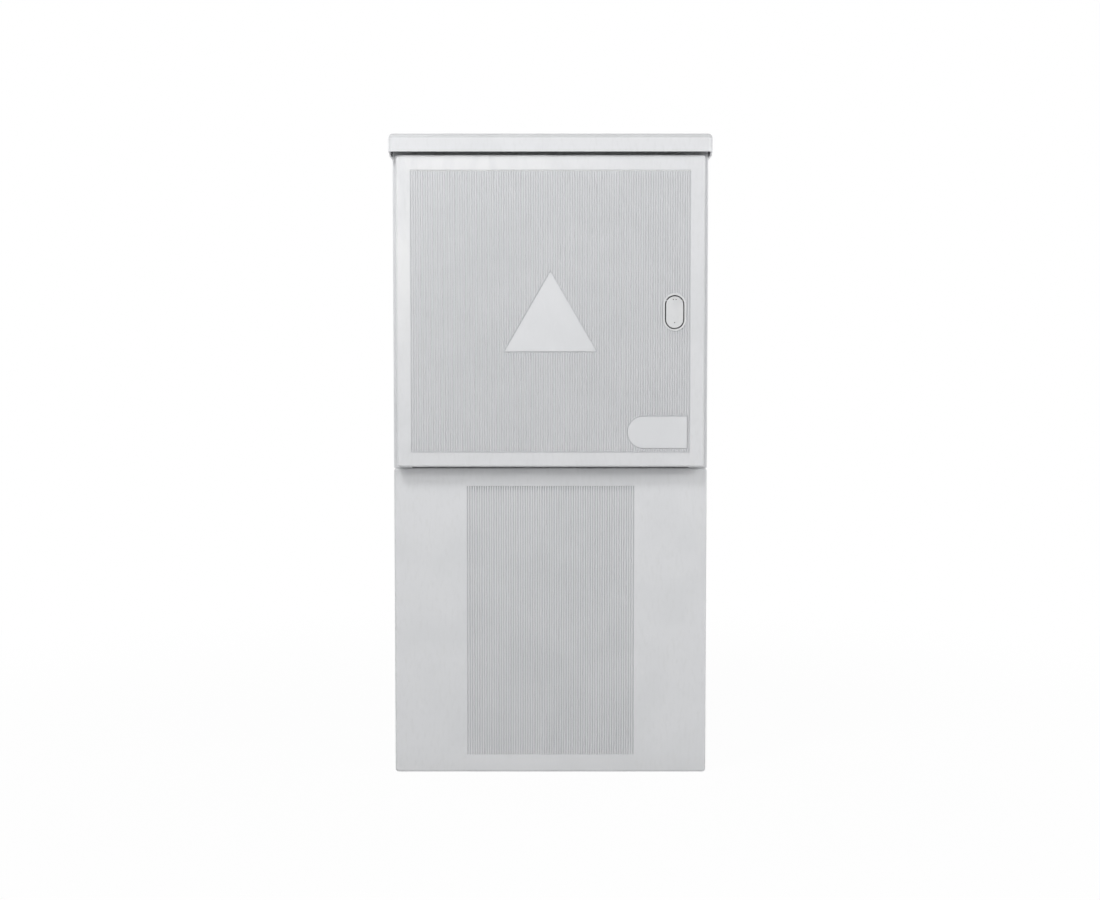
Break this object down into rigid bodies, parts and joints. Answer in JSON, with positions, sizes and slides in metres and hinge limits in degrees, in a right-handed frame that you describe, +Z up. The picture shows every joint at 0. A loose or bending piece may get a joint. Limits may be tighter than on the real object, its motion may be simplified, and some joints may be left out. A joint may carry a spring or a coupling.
{
  "type": "roadside utility cabinet",
  "caption": "Free-standing grey utility cabinet on a plinth: ribbed lockable door, overhanging roof hood, flap-covered rod lock, busbars and fuse rails inside",
  "frame": {"origin": "on the ground at the middle of the plan of the whole cabinet", "axes": "+Z up, door faces -Y, +X to the right when looking at the door"},
  "size_m": [0.611, 0.3376, 1.2216],
  "materials": {
    "polyester": "pressed glass-fibre polyester, light grey, satin",
    "galvanised_sheet": "zinc-coated sheet steel",
    "zinc_fastener": "zinc-plated steel",
    "lock_plastic": "moulded grey plastic",
    "black_nylon": "moulded black nylon",
    "insulator": "red-brown moulded insulator",
    "copper": "bare copper bar",
    "rail_housing": "dark grey moulded housing",
    "fuse_ceramic": "unglazed white ceramic",
    "gasket_rubber": "soft black seal"
  },
  "bodies": {
    "cabinet": {"plinth_front_panel": "polyester", "plinth_rear_panel": "polyester", "plinth_left_side": "polyester", "plinth_right_side": "polyester", "left_side_panel": "polyester", "right_side_panel": "polyester", "rear_panel": "polyester", "front_header": "polyester", "floor_plate": "polyester", "roof_hood": "polyester", "cable_rail": "galvanised_sheet", "upper_hinge_bracket": "galvanised_sheet", "lower_hinge_bracket": "galvanised_sheet", "mounting_plate": "galvanised_sheet", "plate_standoffs": "galvanised_sheet", "cable_rail_screws": "zinc_fastener", "panel_screws": "zinc_fastener", "floor_bolts": "zinc_fastener", "frame_screws": "zinc_fastener", "roof_screws": "zinc_fastener", "plate_screws": "zinc_fastener", "neutral_bolts": "zinc_fastener", "upper_hinge_pin": "zinc_fastener", "lower_hinge_pin": "zinc_fastener", "centre_keeper": "black_nylon", "busbar_support_left": "insulator", "busbar_support_right": "insulator", "neutral_insulators": "insulator", "busbar_top": "copper", "busbar_middle": "copper", "busbar_bottom": "copper", "neutral_bar": "copper", "fuse_rail_1": "rail_housing", "fuse_rail_2": "rail_housing", "fuse_rail_3": "rail_housing", "fuse_rail_4": "rail_housing", "fuse_links_1": "fuse_ceramic", "fuse_links_2": "fuse_ceramic", "fuse_links_3": "fuse_ceramic", "fuse_links_4": "fuse_ceramic"},
    "door": {"door_panel": "polyester", "door_gasket": "gasket_rubber", "door_screws": "zinc_fastener", "lock_bezel": "lock_plastic", "flap_pin": "zinc_fastener", "lock_case": "galvanised_sheet", "lock_cover": "galvanised_sheet", "lock_cover_screws": "zinc_fastener", "rod_guide_upper": "black_nylon", "rod_guide_lower": "black_nylon"},
    "lock_flap": {"lock_flap": "lock_plastic"},
    "lock_spindle": {"lock_spindle": "zinc_fastener", "latch_cam": "galvanised_sheet", "cam_nut": "zinc_fastener"},
    "upper_rod": {"upper_lock_rod": "galvanised_sheet"},
    "lower_rod": {"lower_lock_rod": "galvanised_sheet"}
  },
  "joints": [
    {"name": "door_hinge", "type": "hinge", "parent": "cabinet", "child": "door", "pos_m": [-0.284, -0.14875, 0.8866], "axis": [0, 0, -1], "range_deg": [0, 110]},
    {"name": "flap_hinge", "type": "hinge", "parent": "door", "child": "lock_flap", "pos_m": [0.235, -0.15915, 0.9084], "axis": [-1, 0, 0], "range_deg": [0, 90]},
    {"name": "lock_turn", "type": "hinge", "parent": "door", "child": "lock_spindle", "pos_m": [0.235, -0.13675, 0.8866], "axis": [0, 1, 0], "range_deg": [0, 90]},
    {"name": "upper_rod_slide", "type": "slide", "parent": "door", "child": "upper_rod", "axis": [0, 0, 1], "range_m": [0, 0.01413]},
    {"name": "lower_rod_slide", "type": "slide", "parent": "door", "child": "lower_rod", "axis": [0, 0, -1], "range_m": [0, 0.0142]}
  ],
  "couplings": [
    {"joint": "lock_turn", "follows": "upper_rod_slide", "rad_per_m": 111.11},
    {"joint": "lower_rod_slide", "follows": "upper_rod_slide", "ratio": 1}
  ]
}
